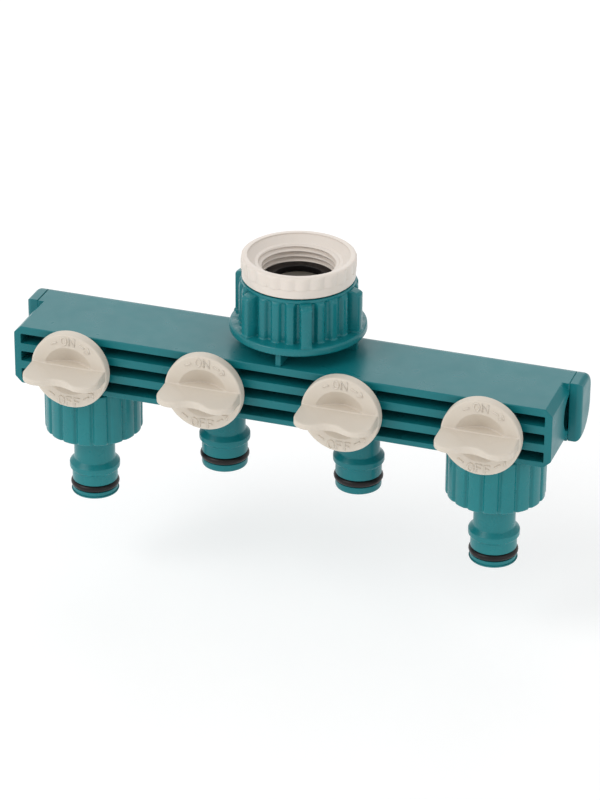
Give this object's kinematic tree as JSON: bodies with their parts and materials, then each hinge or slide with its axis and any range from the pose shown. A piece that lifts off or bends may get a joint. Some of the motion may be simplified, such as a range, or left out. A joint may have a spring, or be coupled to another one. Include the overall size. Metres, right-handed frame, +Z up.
{
  "type": "hose splitter",
  "caption": "Garden tap manifold: swivel-nut tap inlet with a thread adapter feeds a row of quick-connect hose nipples, each behind its own quarter-turn knob valve.",
  "frame": {"origin": "on the inlet axis, at the upper end of the tap inlet's thread crests", "axes": "+X along the manifold, +Y from the knobs to the back, +Z up out of the tap inlet"},
  "size_m": [0.1944, 0.0626, 0.0973],
  "materials": {
    "teal_plastic": "injection-moulded, satin gloss",
    "nut_plastic": "injection-moulded, satin gloss",
    "connector_plastic": "injection-moulded, satin",
    "beige_ring_plastic": "injection-moulded, satin",
    "beige_knob_plastic": "injection-moulded, fine matt",
    "plug_plastic": "turned acetal",
    "black_rubber": "moulded rubber"
  },
  "bodies": {
    "manifold": {"manifold_body": "teal_plastic", "end_cap_left": "teal_plastic", "end_cap_right": "teal_plastic", "bonnet_1": "teal_plastic", "bonnet_2": "teal_plastic", "bonnet_3": "teal_plastic", "bonnet_4": "teal_plastic", "port_seal_1": "black_rubber", "port_seal_2": "black_rubber", "port_seal_3": "black_rubber", "port_seal_4": "black_rubber", "tap_connector_left": "connector_plastic", "tap_connector_right": "connector_plastic", "connector_washer_left": "black_rubber", "connector_washer_right": "black_rubber", "nipple_o_ring_1": "black_rubber", "nipple_o_ring_2": "black_rubber", "nipple_o_ring_3": "black_rubber", "nipple_o_ring_4": "black_rubber"},
    "inlet_coupling": {"inlet_nut": "nut_plastic", "adapter_ring": "beige_ring_plastic", "tap_washer": "black_rubber", "swivel_gasket": "black_rubber"},
    "valve_1": {"knob_1": "beige_knob_plastic", "valve_plug_1": "plug_plastic", "plug_o_ring_1": "black_rubber"},
    "valve_2": {"knob_2": "beige_knob_plastic", "valve_plug_2": "plug_plastic", "plug_o_ring_2": "black_rubber"},
    "valve_3": {"knob_3": "beige_knob_plastic", "valve_plug_3": "plug_plastic", "plug_o_ring_3": "black_rubber"},
    "valve_4": {"knob_4": "beige_knob_plastic", "valve_plug_4": "plug_plastic", "plug_o_ring_4": "black_rubber"}
  },
  "joints": [
    {"name": "inlet_nut_swivel", "type": "hinge", "parent": "manifold", "child": "inlet_coupling", "pos_m": [0, 0, -0.01], "axis": [0, 0, 1], "continuous": true},
    {"name": "knob_1_turn", "type": "hinge", "parent": "manifold", "child": "valve_1", "pos_m": [-0.07095, -0.0215, -0.03865], "axis": [0, -1, 0], "range_deg": [0, 90]},
    {"name": "knob_2_turn", "type": "hinge", "parent": "manifold", "child": "valve_2", "pos_m": [-0.02365, -0.0215, -0.03865], "axis": [0, -1, 0], "range_deg": [0, 90]},
    {"name": "knob_3_turn", "type": "hinge", "parent": "manifold", "child": "valve_3", "pos_m": [0.02365, -0.0215, -0.03865], "axis": [0, -1, 0], "range_deg": [0, 90]},
    {"name": "knob_4_turn", "type": "hinge", "parent": "manifold", "child": "valve_4", "pos_m": [0.07095, -0.0215, -0.03865], "axis": [0, -1, 0], "range_deg": [0, 90]}
  ]
}
